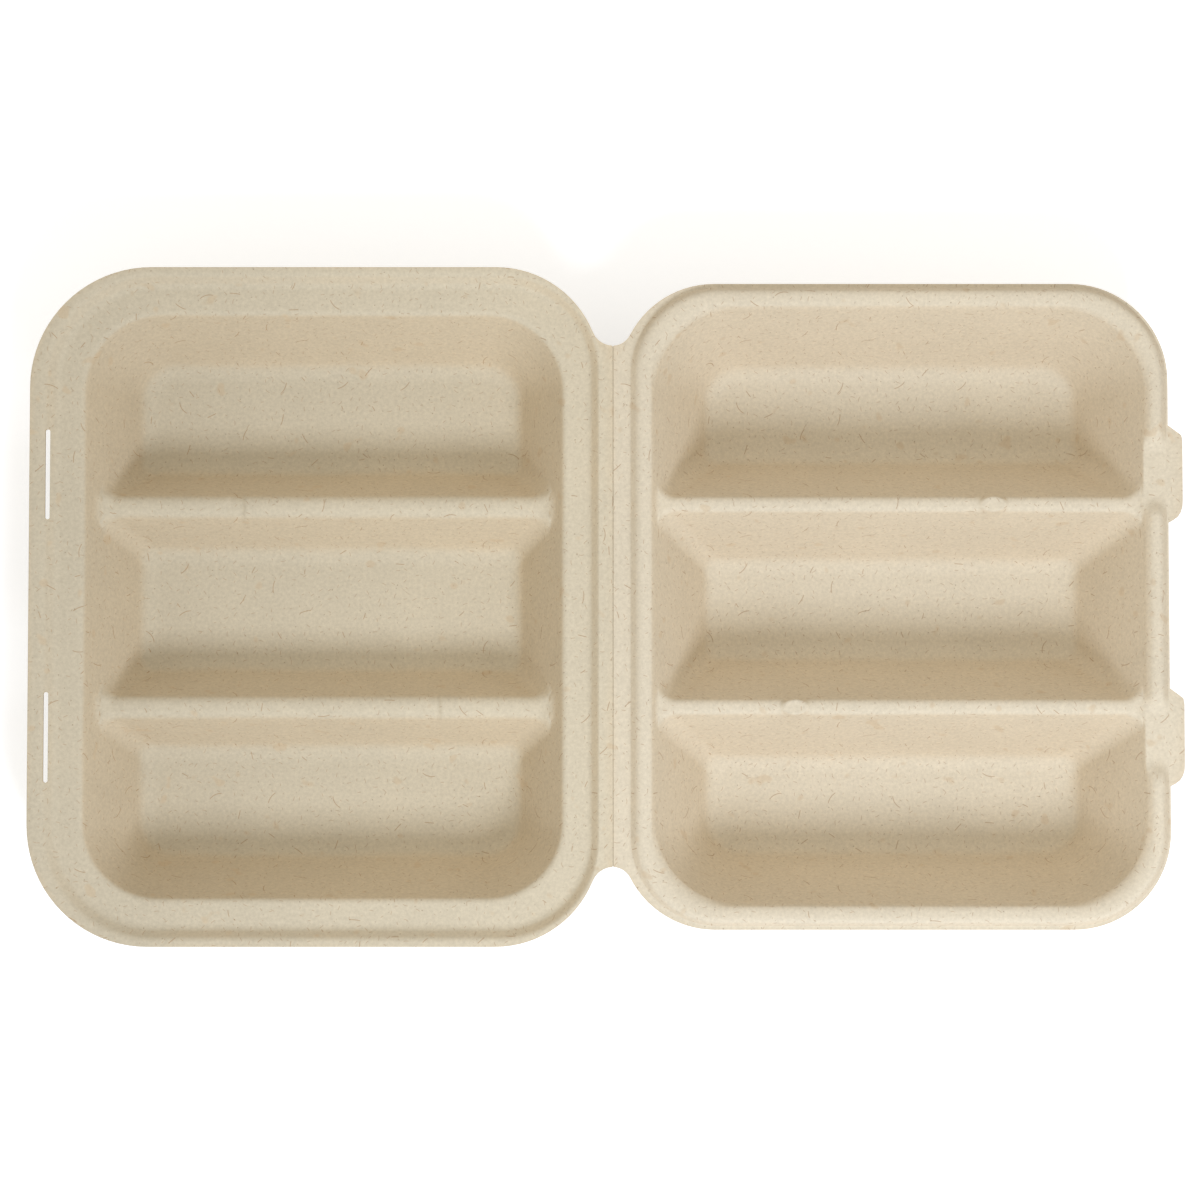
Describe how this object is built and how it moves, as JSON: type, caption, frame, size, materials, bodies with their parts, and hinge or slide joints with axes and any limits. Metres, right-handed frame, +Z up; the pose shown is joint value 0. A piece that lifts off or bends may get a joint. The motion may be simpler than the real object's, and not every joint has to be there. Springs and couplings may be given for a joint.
{
  "type": "taco clamshell container",
  "caption": "Moulded fibre taco clamshell, open and flat: a recessed base and a nesting lid, each with parallel troughs, joined at a crease, with lock tabs and slots.",
  "frame": {"origin": "middle of the open container's bounding box, on the table", "axes": "+Z up, +Y along the crease to the back, +X from the base across the crease to the lid"},
  "size_m": [0.3674, 0.2164, 0.0405],
  "materials": {
    "fibre_base": "matte unbleached moulded plant fibre",
    "fibre_lid": "matte unbleached moulded plant fibre"
  },
  "bodies": {
    "base": {"base": "fibre_base"},
    "lid": {"lid": "fibre_lid"}
  },
  "joints": [
    {"name": "lid_hinge", "type": "hinge", "parent": "base", "child": "lid", "pos_m": [0.0022, 0, 0.03715], "axis": [0, -1, 0], "range_deg": [0, 180]}
  ]
}
